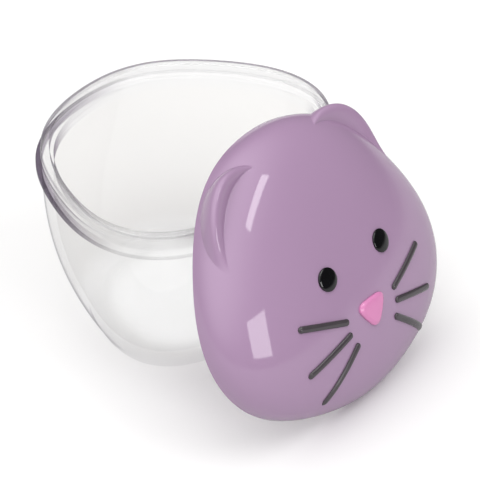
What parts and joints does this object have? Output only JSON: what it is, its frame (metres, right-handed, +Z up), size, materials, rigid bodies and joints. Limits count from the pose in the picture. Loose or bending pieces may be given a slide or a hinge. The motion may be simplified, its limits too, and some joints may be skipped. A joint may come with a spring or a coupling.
{
  "type": "snack container",
  "caption": "Clear plastic snack cup with a domed push-on lid shaped like a cat's head. The lid is off, stands on its chin edge and leans on the cup's rim.",
  "frame": {"origin": "middle of the cup's foot, on the surface that it stands on", "axes": "+Z up along the cup's axis; the cup's head outline has its crown towards +Y and its chin towards -Y; the lid stands in front of the chin, with its face towards -Y"},
  "size_m": [0.1049, 0.1213, 0.0786],
  "materials": {
    "clear_plastic": "clear and polished",
    "lilac_plastic": "smooth and glossy",
    "white_silicone": "satin",
    "black_plastic": "glossy",
    "pink_plastic": "satin gloss",
    "grey_plastic": "satin gloss"
  },
  "bodies": {
    "cup": {"cup": "clear_plastic"},
    "lid": {"lid_shell": "lilac_plastic", "seal_ring": "white_silicone", "left_eye": "black_plastic", "right_eye": "black_plastic", "nose": "pink_plastic", "left_whisker_top": "grey_plastic", "left_whisker_middle": "grey_plastic", "left_whisker_bottom": "grey_plastic", "right_whisker_top": "grey_plastic", "right_whisker_middle": "grey_plastic", "right_whisker_bottom": "grey_plastic"}
  },
  "joints": [
    {"name": "lid_lift", "type": "slide", "parent": "cup", "child": "lid", "axis": [0, 0, 1], "range_m": [0, 0.09]}
  ]
}
